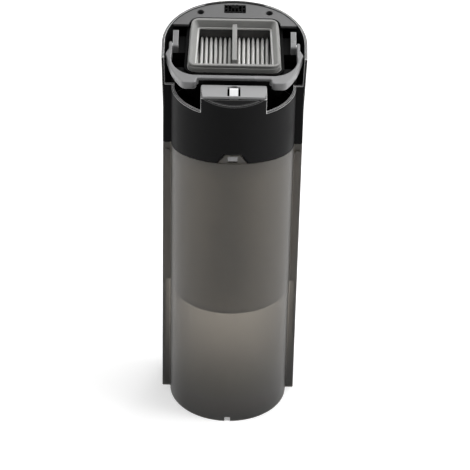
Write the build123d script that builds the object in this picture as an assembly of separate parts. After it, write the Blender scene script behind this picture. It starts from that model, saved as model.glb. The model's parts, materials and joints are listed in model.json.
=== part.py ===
from build123d import *
import math
import os

os.makedirs("parts", exist_ok=True)

# All sizes are in millimetres. +Z is up, -Y is the front.
# The origin is under the middle of the object, on the surface it stands on.

# Overall form
BULGE_R = 51.0  # half-round front, outside
STRIP_W = 7.0  # flat strip on each side of the bulge
SIDE_RUN = 18.0  # straight side between the strip face and the rear corner
CORNER_IN = 9.5  # rear corner centre beside the middle
BACK_MORE = 18.0  # the arc across the back is flatter by this
RIM_FLARE = 2.0  # how far the rear wall has flared out at the top
RIM_MID_Z = 335.1  # rim height at the origin of the slanted top
TOP_BEHIND = 8.0  # that origin, behind the strip face
TOP_TILT = 13.0  # slope of the rim and deck, falling to the front
FLARE_Z = 285.0  # the rear wall flares above this height
CORNER_R = 1.2  # rounding where bulge and strip meet
EDGE_R = 1.0  # rounding of the outer strip corners

# Tank
WALL = 2.4
FLOOR_Z = 113.8  # underside of the tank floor
FLOOR_T = 3.0
SKIRT_DEPTH = 38.0  # how far the skirt sides reach behind the strip face
PART_FRONT_Z = 263.3  # parting line at the front
PART_TILT = 11.8  # the parting line falls to the back
NECK_INSET = 2.7  # neck face behind the tank face
NECK_Z = 272.0  # top of the neck, where the lid rests
SHOULDER_DROP = 9.0  # thick wall below the parting line
TAB_TOP_Z = 271.2
TAB_TOP_HALF = 6.2
TAB_FOOT_HALF = 11.6
TAB_RECESS = 0.7
TAB_ROUND = 1.5  # sunk border round the tab
TAB_STEP = 1.0  # depth of that border
LEDGE_HALF = 4.0
LEDGE_Z = 266.4
LEDGE_H = 3.6
LEDGE_OUT = 0.9
LEDGE_SEAT = 1.2  # the wedge is let into the tab by this
LEDGE_UNDER = 2.0  # open slot under the wedge
FOOT_NOTCH_W = 4.8
FOOT_NOTCH_H = 4.2
STOP_R = 2.4  # round stop at the top of each strip
STOP_OUT = 1.1
STOP_DROP = 8.5

# Inlet
PIPE_BEHIND = 26.5  # inlet axis behind the strip face
PIPE_R = 16.0
PIPE_BORE = 14.0
PIPE_TOP_Z = 226.0
PIPE_CUT = 35.0  # slant of the pipe mouth
SOCKET_WALL = 2.6
SOCKET_H = 14.0
SPIGOT_DROP = 24.0
SPIGOT_R = 18.4
RING_T = 2.4
SEAL_OUT = 2.2
SEAL_H = 7.0

# Lid
LID_WALL = 2.2
PART_GAP = 0.5
FRONT_RIM_Z = 308.0
RIM_BREAK = 0.9  # broken outer edge of the rims
BULKHEAD_T = 3.0
PLUG_INSET = 5.9
PLUG_WALL = 2.2
PLUG_DEPTH = 17.0
SEAL_BAND = 4.0
SEAL_DEEP = 1.3
SEAL_LOW = 6.0  # seal centre below the neck top
AIR_LIP = 4.0  # ledge of the bulkhead inside the plenum
AIR_HOLE_L = 40.0
AIR_BEHIND = 16.0  # air hole centre behind the strip face
SHELF_Z = 288.0
SHELF_T = 2.4
SHELF_BACK = 14.0  # rear edge of the pocket floor in front of the strip face
COVER_BESIDE = 9.4  # screws that hold the front cover, beside the tongue
COVER_IN = 29.0  # and behind the front
COVER_POST_R = 3.2

# Filter well, measured along the slanted top: s to the back, h up from the rim plane
WELL_GAP = 0.5  # round the filter's flange
WELL_TOP = -6.0
WELL_FLOOR = -29.0
WELL_WALL = 2.0
GRILLE_BARS = 5
GRILLE_BAR_W = 2.4
GRILLE_FRONT = -6.0
GRILLE_BACK = 26.0
PLENUM_OUT = 0.6  # plenum side beyond the filter's opening
PLENUM_L = 44.0
APRON_H = -8.6  # shelf at each front corner of the well
APRON_T = 1.6
APRON_AHEAD = 8.4  # in front of the filter
APRON_BACK = 6.6  # and behind its front
APRON_IN = 5.0

# Filter
FILTER_IN = 20.6  # from the outside of the tank to the filter's wide end
FILTER_TAPER = 1.9
FILTER_BEHIND = 33.4  # from the half-round front to the filter
FILTER_BEFORE = 23.6  # from the filter to the back of the rim
FILTER_R = 6.4
SEAL_TOP = 0.4
LEDGE_DEEP = -7.0
RIM_SIDE_W = 6.3  # soft rim beside the opening
RIM_END_W = 4.1  # soft rim before and behind the opening
OPEN_R = 1.0
FUNNEL_R = 3.0
LEDGE_SIDE = 1.4  # flange that shows inside the soft rim, at the sides
LEDGE_END = 0.9  # and at the ends
FUNNEL_SIDE = 4.2  # the opening widens by this to the top of the rim, at the sides
FUNNEL_END = 1.6  # and at the ends
SEAL_EDGE = 0.7
LIP_T = 1.3  # upper lip of the soft rim
LIP_GAP = 1.7  # groove between the lips
LIP_IN = 1.5  # depth of that groove
LIP_OUT = 0.6  # lower lip beyond the upper one
FRAME_FLANGE = 1.2  # flange beyond the upper lip
FLANGE_T = 1.4
BAR_W = 4.0
BAR_H = 13.6
BAR_STEP = 6.2  # the bar's front end stands this far from the wall
BAR_LOW_H = 9.6  # and is this high from there on
PLEATS = 16
PLEAT_TOP = -16.0
PLEAT_H = 9.5
PLEAT_T = 1.1

# Handle
HANDLE_TOP = -0.8
HANDLE_T = 7.0
ARM_W = 2.8
ARM_IN = 5.7  # arm centre inside the outer side
PIVOT_S = 11.0
BUMP_OUT = 4.3  # outward bump of each arm
BUMP_BEHIND = 48.0
BUMP_RUN = 9.0
BUMP_RISE = 7.0  # run of the bump's rear side
BEND_IN = 4.2  # outside of the bend, in from the arm
BEND_BEHIND = 23.5
NECK_IN = 7.0  # inside of the bend, in from the arm
NECK_BEHIND = 29.2
LOBE_BESIDE = 3.8  # lobe beside the tongue
LOBE_BEHIND = 14.0
LOBE_IN_ARM = 10.9  # lobe's outer end, in from the arm
LOBE_R = 3.0
LOBE_TURN = 5.0  # rounding of the lobe's outer corner
GRIP_BEHIND = 21.6
GRIP_W = 4.0
GRIP_T = 2.6  # thin bar over the soft insert
INSERT_IN = 0.3  # insert behind the faces of the bar
HANDLE_EDGE = 1.0
HANDLE_BLEND = 1.6  # rounding of the corners in plan
PIN_R = 2.0
PIN_RUN = 0.06  # running clearance of the handle on its pins
EAR_GAP = 0.3  # between ear and arm
EAR_FRONT = 7.8
EAR_BACK = 28.3
EAR_TOP = -1.6
EAR_T = 4.4
EAR_H = 8.0
EAR_FOOT_H = 7.0  # foot under each ear
EAR_R = 2.2

# Rear deck
DECK_TOP = -0.8
DECK_T = 2.4
DECK_W = 30.63
DECK_GAP = 0.4
DECK_ROUND = 0.8  # deck edge round the filter's flange
SCREW_IN = 29.5  # deck screws, in from the outer side
SCREW_BEFORE = 14.93  # and in front of the back of the rim
SCREW_HOLE_R = 2.9
SCREW_HEAD_R = 2.5
SCREW_R = 1.2
SCREW_L = 8.0
SCREW_SINK = 5.0  # depth of the deck's screw cups
CUP_WALL = 1.0
CUP_FLOOR = 1.4
SCREW_HEAD_H = 1.0
CONTACT_BEFORE = 10.43
CONTACT_W = 17.5
CONTACT_L = 9.4
CONTACT_H = 11.0
CONTACT_SLOTS = 6
CONTACT_RIB = 1.6  # rib across the comb
TOOTH_W = 1.7
TOOTH_H = 1.6
PROBE_X = 4.2
PROBE_R = 1.2
PROBE_TOP_BEFORE = 7.2  # from the rods to the back of the tank
PROBE_LOW_BEFORE = 16.2
PROBE_END_Z = 206.0
GROMMET_R = 3.1
GUARD_H = 22.0
GUARD_SLOTS = 4

# Latch
TONGUE_HALF = 26.6
TONGUE_WALL = 2.0
PLATE_Z = 320.6
PLATE_T = 2.0
PLATE_IN = 6.6  # plate's front edge behind the half-round front
PLATE_L = 18.6
FACET_LOW_Z = 316.3  # thumb facet where it meets the half-round front
BUTTON_SKIN = 1.4  # tongue wall in front of the button
BUTTON_LOW_Z = 304.0
HOOK_HALF = 3.5
HOOK_IN = 1.8  # hook behind the plate's front edge
HOOK_L = 6.6
HOOK_Z = 325.8
ARM_LOW_Z = 309.0
ARM_HIGH_Z = 313.0
PRESS = 4.0  # travel of the button, downwards
SLOT_HALF = 5.2
SLOT_IN = 1.2  # slot behind the plate's front edge
SLOT_L = 14.8
HOUSING_WALL = 2.0
HOUSING_FLOOR_Z = 296.0
SPRING_T = 0.5
SPRING_W = 5.0
SPRING_L = 7.6

# Clearances
GAP = 0.4  # between pieces that move past each other
FIT = 0.05  # between pieces that stay together
SEAT = 0.3  # between a piece and the seat it is lifted from
BIG = 400.0

# Derived sizes and positions
SIDE_HALF = BULGE_R + STRIP_W
REAR_CORNER_R = SIDE_HALF - CORNER_IN
BACK_R = SIDE_HALF + BACK_MORE
CORNER_X = CORNER_IN
BACK_RISE = math.sqrt((BACK_R - REAR_CORNER_R) ** 2 - CORNER_X**2)
BACK_TURN = math.atan2(BACK_RISE, CORNER_X)
DEPTH_BEHIND = SIDE_RUN - BACK_RISE + BACK_R
TILT = math.radians(TOP_TILT)
RIM_S = (DEPTH_BEHIND + RIM_FLARE - TOP_BEHIND) / math.cos(TILT)
FILTER_FRONT_HALF = SIDE_HALF - FILTER_IN
FILTER_BACK_HALF = FILTER_FRONT_HALF - FILTER_TAPER
OPEN_HALF = FILTER_FRONT_HALF - RIM_SIDE_W
FILTER_FRONT = FILTER_BEHIND - BULGE_R
FILTER_BACK = RIM_S - FILTER_BEFORE
OPEN_FRONT = FILTER_FRONT + RIM_END_W
OPEN_BACK = FILTER_BACK - RIM_END_W
PLENUM_HALF = OPEN_HALF + PLENUM_OUT
AIR_HOLE_W = 2 * (PLENUM_HALF - AIR_LIP)
ARM_X = SIDE_HALF - ARM_IN
BUMP_X = ARM_X + BUMP_OUT
BEND_X = ARM_X - BEND_IN
NECK_X = ARM_X - NECK_IN
BUMP_S = BUMP_BEHIND - BULGE_R
BEND_S = BEND_BEHIND - BULGE_R
NECK_S = NECK_BEHIND - BULGE_R
LOBE_FRONT = LOBE_BEHIND - BULGE_R
GRIP_S = GRIP_BEHIND - BULGE_R
LOBE_IN = TONGUE_HALF + LOBE_BESIDE
EAR_OUT = ARM_X - ARM_W / 2 - EAR_GAP
EAR_IN = FILTER_FRONT_HALF
SCREW_X = SIDE_HALF - SCREW_IN
SCREW_S = RIM_S - SCREW_BEFORE
CONTACT_S = RIM_S - CONTACT_BEFORE
DECK_FRONT = RIM_S - DECK_W
PROBE_BEHIND_TOP = DEPTH_BEHIND - PROBE_TOP_BEFORE
PROBE_BEHIND_LOW = DEPTH_BEHIND - PROBE_LOW_BEFORE
COVER_X = TONGUE_HALF + COVER_BESIDE
COVER_AHEAD = BULGE_R - COVER_IN
PLATE_FRONT = BULGE_R - PLATE_IN
PLATE_BACK = PLATE_FRONT - PLATE_L
HOOK_FRONT = PLATE_FRONT - HOOK_IN
HOOK_BACK = HOOK_FRONT - HOOK_L
SLOT_FRONT = PLATE_FRONT - SLOT_IN
SLOT_BACK = SLOT_FRONT - SLOT_L
HOUSING_HALF = TONGUE_HALF - TONGUE_WALL - GAP
FLANGE_Y = (BULGE_R - DEPTH_BEHIND - RIM_FLARE) / 2
REAR_Y = FLANGE_Y + SIDE_RUN
TOP_Y = FLANGE_Y + TOP_BEHIND
FRONT_Y = FLANGE_Y - BULGE_R
TOP_Z = RIM_MID_Z + (DEPTH_BEHIND + RIM_FLARE - TOP_BEHIND) * math.tan(TILT)
FLARE = math.degrees(math.atan(RIM_FLARE / (TOP_Z - FLARE_Z)))
BULKHEAD_Z = NECK_Z + BULKHEAD_T
PIPE_Y = FLANGE_Y + PIPE_BEHIND
FLOOR_TOP = FLOOR_Z + FLOOR_T
COVER_Y = FLANGE_Y - COVER_AHEAD
PIVOT_H = HANDLE_TOP - HANDLE_T / 2
FACET_Y = FLANGE_Y - PLATE_FRONT - GAP
FACET_Z = PLATE_Z - GAP
PROBE_TOP_Y = FLANGE_Y + PROBE_BEHIND_TOP
PROBE_TOP_Z = RIM_MID_Z + CONTACT_S * math.sin(TILT) - 4.0
SPRING_Y = FLANGE_Y - HOOK_BACK - 0.8
FACET_TILT = math.degrees(math.atan2(FACET_Z - FACET_LOW_Z, FACET_Y - FRONT_Y))

TOP = Plane(
    origin=(0, TOP_Y, RIM_MID_Z),
    x_dir=(1, 0, 0),
    z_dir=(0, -math.sin(TILT), math.cos(TILT)),
).location
PART = Location((0, FRONT_Y, PART_FRONT_Z), (-PART_TILT, 0, 0))


def block(x0, x1, y0, y1, z0, z1):
    """A box between two corners."""
    box = Box(x1 - x0, y1 - y0, z1 - z0)
    return Pos((x0 + x1) / 2, (y0 + y1) / 2, (z0 + z1) / 2) * box


def top_block(x0, x1, s0, s1, h0, h1):
    """A box lying along the slanted top."""
    return TOP * block(x0, x1, s0, s1, h0, h1)


def prism(face, z0, z1):
    """A flat outline raised from z0 to z1."""
    return extrude(Pos(0, 0, z0) * face, z1 - z0)


def above_part(lift):
    """Everything above the slanted parting plane, moved up by lift."""
    return Pos(0, 0, lift) * PART * Pos(0, 0, BIG / 2) * Box(BIG, BIG, BIG)


def below_part(lift):
    """Everything below the slanted parting plane, moved up by lift."""
    return Pos(0, 0, lift) * PART * Pos(0, 0, -BIG / 2) * Box(BIG, BIG, BIG)


def outline(inset):
    """Plan of the tank, moved in by inset: bulge, strips, sides and rear arc."""
    half = SIDE_HALF - inset
    bulge = BULGE_R - inset
    front = FLANGE_Y + inset
    meet = math.sqrt(bulge**2 - inset**2)
    edges = Polyline((meet, front), (half, front), (half, REAR_Y))
    edges += rear_edges(inset)
    edges += Polyline((-half, REAR_Y), (-half, front), (-meet, front))
    edges += ThreePointArc((-meet, front), (0, FLANGE_Y - bulge), (meet, front))
    face = make_face(edges)
    face = fillet([v for v in face.vertices() if abs(abs(v.X) - meet) < 0.01], CORNER_R)
    corners = [v for v in face.vertices() if abs(v.Y - front) < 0.01 and abs(v.X) > half - 0.01]
    return fillet(corners, EDGE_R)


def rear_edges(inset):
    """Rear corners and back of the plan, moved in by inset, as three tangent arcs."""
    corner = REAR_CORNER_R - inset
    turns = [BACK_TURN * part for part in (0, 0.5, 1)]
    right = [(CORNER_X + corner * math.cos(a), REAR_Y + corner * math.sin(a)) for a in turns]
    left = [(-x, y) for x, y in right[::-1]]
    back = (0, FLANGE_Y + DEPTH_BEHIND - inset)
    return ThreePointArc(*right) + ThreePointArc(right[2], back, left[0]) + ThreePointArc(*left)


def rear_face(inset):
    """Plan of the rear half behind the strip face."""
    half = SIDE_HALF - inset
    edges = Polyline((-half, REAR_Y), (-half, FLANGE_Y), (half, FLANGE_Y), (half, REAR_Y))
    return make_face(edges + rear_edges(inset))


def rear_block(inset):
    """The flaring rear half as a solid, cut along the rim plane."""
    return rear_column(inset) - TOP * Pos(0, 0, BIG / 2) * Box(BIG, BIG, BIG)


def outside(inset):
    """The space behind and beside the rear half, from its outline moved in by inset."""
    return block(-BIG, BIG, TOP_Y, BIG, FLOOR_Z, RIM_MID_Z + BIG) - rear_column(inset)


def rear_column(inset):
    """The flaring rear half, not yet cut along the rim."""
    face = rear_face(inset)
    solid = prism(face, FLOOR_Z - 1, FLARE_Z)
    solid += extrude(Pos(0, 0, FLARE_Z) * face, TOP_Z - FLARE_Z + 20, taper=-FLARE)
    return solid - block(-BIG, BIG, FLANGE_Y - BIG, FLANGE_Y, 0, BIG + TOP_Z)


def half_disc(radius, z0, z1):
    """The half-round front as a solid."""
    disc = Pos(0, FLANGE_Y, (z0 + z1) / 2) * Cylinder(radius, z1 - z0)
    return disc - block(-BIG, BIG, FLANGE_Y, FLANGE_Y + BIG, z0 - 1, z1 + 1)


def tab_prism(grow):
    """The tapered tab at the front of the neck, standing along Y."""
    low = PART_FRONT_Z - 14
    slope = (TAB_FOOT_HALF - TAB_TOP_HALF) / (TAB_TOP_Z - PART_FRONT_Z)
    foot = TAB_FOOT_HALF + slope * (PART_FRONT_Z - low) + grow
    head = TAB_TOP_HALF + grow
    face = make_face(
        Polyline((-foot, low), (foot, low), (head, TAB_TOP_Z + grow), (-head, TAB_TOP_Z + grow), (-foot, low))
    )
    solid = extrude(Plane.XZ * face, BULGE_R / 2)
    return Pos(0, FRONT_Y + BULGE_R / 2 - 3, 0) * solid


def tank_shell():
    """Smoky shell with floor, open-backed skirt, neck, tab and inlet socket."""
    shell = prism(outline(0), 0, NECK_Z) - above_part(0)
    shell += prism(outline(NECK_INSET), FLOOR_Z, NECK_Z)
    shell -= block(-BIG, BIG, FLANGE_Y + SKIRT_DEPTH, BIG, -1, FLOOR_Z)
    shell -= prism(outline(WALL), -1, FLOOR_Z)
    body = prism(outline(WALL), FLOOR_TOP, NECK_Z) - above_part(-SHOULDER_DROP)
    shell -= body + prism(outline(NECK_INSET + WALL), FLOOR_TOP, NECK_Z + 1)
    tab = tab_prism(0) & prism(outline(TAB_RECESS), FLOOR_TOP, NECK_Z)
    shell += tab - prism(outline(NECK_INSET + WALL), FLOOR_Z, NECK_Z + 1)
    half = LEDGE_HALF + FIT
    seat = FRONT_Y + TAB_RECESS + LEDGE_SEAT + FIT
    shell -= block(-half, half, FRONT_Y - 1, seat, LEDGE_Z - LEDGE_UNDER, LEDGE_Z + LEDGE_H + FIT)
    shell -= block(-FOOT_NOTCH_W / 2, FOOT_NOTCH_W / 2, FRONT_Y - 1, FRONT_Y + 2 * WALL, -1, FOOT_NOTCH_H)
    stop_z = PART_FRONT_Z - BULGE_R * math.tan(math.radians(PART_TILT)) - STOP_DROP
    for side in (-1, 1):
        stop = Rot(90, 0, 0) * Cylinder(STOP_R, 2 * STOP_OUT)
        shell += Pos(side * (BULGE_R + SIDE_HALF) / 2, FLANGE_Y, stop_z) * stop
    socket_r = PIPE_R + SOCKET_WALL
    shell += Pos(0, PIPE_Y, FLOOR_TOP + SOCKET_H / 2) * Cylinder(socket_r, SOCKET_H)
    shell += Pos(0, PIPE_Y, FLOOR_Z - SPIGOT_DROP / 2) * Cylinder(SPIGOT_R, SPIGOT_DROP)
    shell -= Pos(0, PIPE_Y, FLOOR_TOP + SOCKET_H) * Cylinder(PIPE_R + 0.1, 2 * SOCKET_H)
    shell -= Pos(0, PIPE_Y, FLOOR_Z) * Cylinder(PIPE_BORE, 4 * SPIGOT_DROP)
    return shell


def tab_catch():
    """Pale wedge let into the tab, which the lid snaps past."""
    face_y = FRONT_Y + TAB_RECESS - LEDGE_OUT
    seat = FRONT_Y + TAB_RECESS + LEDGE_SEAT
    wedge = block(-LEDGE_HALF, LEDGE_HALF, face_y, seat, LEDGE_Z, LEDGE_Z + LEDGE_H)
    lip = wedge.edges().group_by(Axis.Y)[0].sort_by(Axis.Z)[-1]
    return chamfer(lip, LEDGE_H * 0.7, LEDGE_OUT * 1.2)


def inlet_pipe():
    """Riser standing in the floor socket, with a slanted mouth facing the back."""
    height = PIPE_TOP_Z - FLOOR_TOP
    mid = Pos(0, PIPE_Y, FLOOR_TOP + height / 2)
    pipe = mid * Cylinder(PIPE_R, height) - mid * Cylinder(PIPE_BORE, height + 2)
    cut = Pos(0, PIPE_Y - PIPE_R, PIPE_TOP_Z) * Rot(-PIPE_CUT, 0, 0) * Pos(0, 0, BIG / 2) * Box(BIG, BIG, BIG)
    groove_z = FLOOR_TOP + SOCKET_H + RING_T / 2
    collar = Pos(0, PIPE_Y, groove_z + 2 * RING_T) * Cylinder(PIPE_R + SOCKET_WALL, RING_T)
    collar -= Pos(0, PIPE_Y, groove_z) * Cylinder(PIPE_BORE, 8 * RING_T)
    return pipe - cut + collar


def pipe_o_ring():
    """Round rubber ring under the riser's collar."""
    half = RING_T / 2
    section = Pos(PIPE_R + half + 0.1, FLOOR_TOP + SOCKET_H + half + 0.1) * RegularPolygon(half, 6)
    return Pos(0, PIPE_Y, 0) * revolve(Plane.XZ * section, Axis.Z)


def inlet_seal():
    """Lipped rubber sleeve round the spigot under the floor."""
    low = FLOOR_Z - SPIGOT_DROP
    r0 = SPIGOT_R + 0.05
    profile = make_face(
        Polyline(
            (r0, low),
            (r0 + SEAL_OUT * 0.6, low),
            (r0 + SEAL_OUT * 0.6, low + SEAL_H * 0.35),
            (r0 + SEAL_OUT, low + SEAL_H * 0.5),
            (r0 + SEAL_OUT * 0.6, low + SEAL_H * 0.65),
            (r0 + SEAL_OUT * 0.6, low + SEAL_H),
            (r0, low + SEAL_H),
            (r0, low),
        )
    )
    return Pos(0, PIPE_Y, 0) * revolve(Plane.XZ * profile, Axis.Z)


def lid_body():
    """Rear wall with the flared rim, side strips, bulkhead, plug and screw posts."""
    shell = rear_block(0)
    crest = shell.faces().sort_by(Axis.Z)[-1]
    brim = [e for e in crest.edges() if e.center().Y > FLANGE_Y + 0.1]
    shell = chamfer(brim, RIM_BREAK) - rear_block(LID_WALL)
    strip = rear_block(0) & block(-BIG, BIG, FLANGE_Y, FLANGE_Y + LID_WALL, 0, FRONT_RIM_Z)
    shell += strip
    open_half = BULGE_R - LID_WALL
    shell -= block(-open_half, open_half, FLANGE_Y - 1, FLANGE_Y + 2 * LID_WALL, 0, BIG)
    shell -= below_part(PART_GAP)
    corners = shell.edges().filter_by(Axis.Z).group_by(Axis.Y)[0]
    corners = [e for e in corners if abs(e.center().X) > SIDE_HALF - 0.1]
    shell = fillet(corners, EDGE_R)
    bulkhead = half_disc(BULGE_R - LID_WALL - GAP, NECK_Z, BULKHEAD_Z)
    bulkhead += rear_block(LID_WALL / 2) & block(-BIG, BIG, FLANGE_Y, BIG, NECK_Z, BULKHEAD_Z)
    plug = prism(outline(PLUG_INSET), NECK_Z - PLUG_DEPTH, NECK_Z)
    plug -= prism(outline(PLUG_INSET + PLUG_WALL), NECK_Z - PLUG_DEPTH - 1, NECK_Z)
    seal_z = NECK_Z - SEAL_LOW
    groove = prism(outline(0), seal_z - SEAL_BAND / 2, seal_z + SEAL_BAND / 2)
    groove -= prism(outline(PLUG_INSET + SEAL_DEEP), seal_z - SEAL_BAND, seal_z + SEAL_BAND)
    lid = shell + bulkhead + (plug - groove)
    air_y = FLANGE_Y + AIR_BEHIND
    lid -= Pos(0, air_y, NECK_Z) * Box(AIR_HOLE_W, AIR_HOLE_L, 4 * BULKHEAD_T)
    for side in (-1, 1):
        rod_y = FLANGE_Y + PROBE_BEHIND_LOW
        lid -= Pos(side * PROBE_X, rod_y, NECK_Z) * Cylinder(GROMMET_R, 4 * BULKHEAD_T)
        post_h = SHELF_Z - BULKHEAD_Z
        lid += Pos(side * COVER_X, COVER_Y, BULKHEAD_Z + post_h / 2) * Cylinder(COVER_POST_R, post_h)
        lid -= Pos(side * COVER_X, COVER_Y, SHELF_Z - post_h / 2) * Cylinder(SCREW_R, post_h)
        boss_h = SCREW_L + 3
        boss_top = TOP * Pos(side * SCREW_X, SCREW_S, DECK_TOP - SCREW_SINK - CUP_FLOOR - FIT)
        web = Pos(0, SCREW_BEFORE / 2, 0) * Box(2 * SCREW_R, SCREW_BEFORE, boss_h)
        boss = Cylinder(SCREW_HOLE_R, boss_h) + web
        lid += boss_top * Pos(0, 0, -boss_h / 2) * boss & rear_block(LID_WALL / 2)
        lid -= boss_top * Cylinder(SCREW_R, 2 * SCREW_L)
    return lid


def lid_seal():
    """Rubber band in the groove of the plug."""
    seal_z = NECK_Z - SEAL_LOW
    half = SEAL_BAND / 2 - 0.05
    band = prism(outline(NECK_INSET + WALL + SEAT), seal_z - half, seal_z + half)
    return band - prism(outline(PLUG_INSET + SEAL_DEEP - 0.05), seal_z - 2 * half, seal_z + 2 * half)


def filter_well():
    """Slanted box for the filter with a barred floor, a plenum below and feet for the ears."""
    inner = FRAME_FLANGE + WELL_GAP
    deep = WELL_TOP - WELL_FLOOR + WELL_WALL
    well = TOP * Pos(0, 0, WELL_FLOOR - WELL_WALL) * extrude(filter_plan(inner + WELL_WALL), deep)
    well -= outside(LID_WALL + GAP)
    hollow = TOP * Pos(0, 0, WELL_FLOOR) * extrude(filter_plan(inner), deep)
    well -= hollow - outside(LID_WALL + GAP + WELL_WALL)
    for side in (-1, 1):
        x0, x1 = sorted((side * EAR_IN, side * EAR_OUT))
        high = EAR_TOP - EAR_H - FIT
        foot = top_block(x0, x1, EAR_FRONT, EAR_BACK, high - EAR_FOOT_H, high)
        x0, x1 = sorted((side * (FILTER_FRONT_HALF - APRON_IN), side * EAR_OUT))
        s0 = FILTER_FRONT - APRON_AHEAD
        apron = top_block(x0, x1, s0, FILTER_FRONT + APRON_BACK, APRON_H - APRON_T, APRON_H)
        well += (foot + apron) - outside(LID_WALL + GAP) - hollow
    air_y = FLANGE_Y + AIR_BEHIND
    duct = block(
        -PLENUM_HALF, PLENUM_HALF, air_y - PLENUM_L / 2, air_y + PLENUM_L / 2, BULKHEAD_Z, RIM_MID_Z
    )
    duct -= block(
        WELL_WALL - PLENUM_HALF,
        PLENUM_HALF - WELL_WALL,
        air_y - PLENUM_L / 2 + WELL_WALL,
        air_y + PLENUM_L / 2 - WELL_WALL,
        BULKHEAD_Z - 1,
        RIM_MID_Z,
    )
    duct -= TOP * Pos(0, 0, WELL_FLOOR - WELL_WALL / 2 + BIG / 2) * Box(BIG, BIG, BIG)
    well += duct
    span = 2 * (PLENUM_HALF - WELL_WALL)
    pitch = (span + GRILLE_BAR_W) / GRILLE_BARS
    for i in range(GRILLE_BARS):
        x0 = -span / 2 + i * pitch
        x1 = x0 + pitch - GRILLE_BAR_W
        low = WELL_FLOOR - 2 * WELL_WALL
        well -= top_block(x0, x1, GRILLE_FRONT, GRILLE_BACK, low, WELL_FLOOR + 1)
    return well


def handle_ear(side):
    """Upright ear beside the well that carries one end of the handle."""
    x0, x1 = sorted((side * (EAR_OUT - EAR_T), side * EAR_OUT))
    ear = block(x0, x1, EAR_FRONT, EAR_BACK, EAR_TOP - EAR_H, EAR_TOP)
    ear = fillet(ear.edges().filter_by(Axis.X).group_by(Axis.Z)[-1], EAR_R)
    ear -= Pos(side * EAR_OUT, PIVOT_S, PIVOT_H) * Rot(0, 90, 0) * Cylinder(PIN_R + FIT / 2, 3 * EAR_T)
    return TOP * ear - outside(LID_WALL + GAP)


def filter_plan(grow):
    """Tapered plan of the filter, wider at the front."""
    corners = [
        (-FILTER_FRONT_HALF - grow, FILTER_FRONT - grow),
        (FILTER_FRONT_HALF + grow, FILTER_FRONT - grow),
        (FILTER_BACK_HALF + grow, FILTER_BACK + grow),
        (-FILTER_BACK_HALF - grow, FILTER_BACK + grow),
    ]
    face = make_face(Polyline(corners, close=True))
    return fillet(face.vertices(), FILTER_R + grow)


def open_plan(side, end, radius):
    """Tapered plan of the filter's opening, widened at the sides and the ends."""
    front = OPEN_HALF + side
    back = front - FILTER_TAPER
    corners = [
        (-front, OPEN_FRONT - end),
        (front, OPEN_FRONT - end),
        (back, OPEN_BACK + end),
        (-back, OPEN_BACK + end),
    ]
    face = make_face(Polyline(corners, close=True))
    return fillet(face.vertices(), radius)


def filter_seal():
    """Soft rim with two lips outside and a funnel inside."""
    rim = extrude(Pos(0, 0, LEDGE_DEEP) * filter_plan(LIP_OUT), SEAL_TOP - LIP_T - LIP_GAP - LEDGE_DEEP)
    rim += extrude(Pos(0, 0, LEDGE_DEEP) * filter_plan(-LIP_IN), SEAL_TOP - LIP_T - LEDGE_DEEP)
    rim += extrude(Pos(0, 0, SEAL_TOP - LIP_T) * filter_plan(0), LIP_T)
    low = Pos(0, 0, LEDGE_DEEP) * open_plan(LEDGE_SIDE, LEDGE_END, OPEN_R + LEDGE_END)
    rim -= loft([low, Pos(0, 0, SEAL_TOP) * open_plan(FUNNEL_SIDE, FUNNEL_END, FUNNEL_R)])
    top = rim.faces().sort_by(Axis.Z)[-1]
    return TOP * fillet(top.edges(), SEAL_EDGE)


def filter_flange():
    """Thin flange between the soft rim and the frame's walls."""
    flange = extrude(Pos(0, 0, LEDGE_DEEP - FLANGE_T) * filter_plan(FRAME_FLANGE), FLANGE_T - FIT)
    return TOP * (flange - open_space(0, LEDGE_DEEP - 2 * FLANGE_T, LEDGE_DEEP + FLANGE_T))


def open_space(grow, low, high):
    """The space of the opening between two heights, grown all round."""
    return extrude(Pos(0, 0, low) * open_plan(grow, grow, OPEN_R + max(grow, 0)), high - low)


def filter_frame():
    """Walls that hold the pleats, standing on the floor of the well."""
    low = WELL_FLOOR + SEAT
    high = LEDGE_DEEP - FLANGE_T - FIT
    return TOP * (open_space(WELL_WALL, low, high) - open_space(0, low - 1, high + 1))


def filter_bar():
    """Bar across the pleats, stepped down at its front end."""
    low = PLEAT_TOP + FIT
    half = BAR_W / 2
    bar = block(-half, half, OPEN_FRONT + BAR_STEP, OPEN_BACK - FIT, low, low + BAR_H)
    bar = chamfer(bar.faces().sort_by(Axis.Z)[-1].edges().filter_by(Axis.Y), BAR_W / 10)
    bar += block(-half, half, OPEN_FRONT + FIT, OPEN_FRONT + 2 * BAR_STEP, low, low + BAR_LOW_H)
    return TOP * bar


def filter_media():
    """One pleated sheet, folded along the front-to-back direction."""
    half = OPEN_HALF - 0.15
    step = 2 * half / PLEATS
    upper = []
    lower = []
    for i in range(2 * PLEATS + 1):
        x = -half + i * step / 2
        z = PLEAT_TOP if i % 2 else PLEAT_TOP - PLEAT_H
        upper.append((x, z))
        lower.append((x, z - PLEAT_T * 2))
    face = make_face(Polyline(upper + lower[::-1], close=True))
    long = OPEN_BACK - OPEN_FRONT - 0.3
    sheet = extrude(Plane.XZ * face, long)
    sheet = Pos(0, OPEN_BACK - 0.15, 0) * sheet
    return TOP * (sheet & open_space(-0.15, WELL_FLOOR, LEDGE_DEEP))


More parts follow.
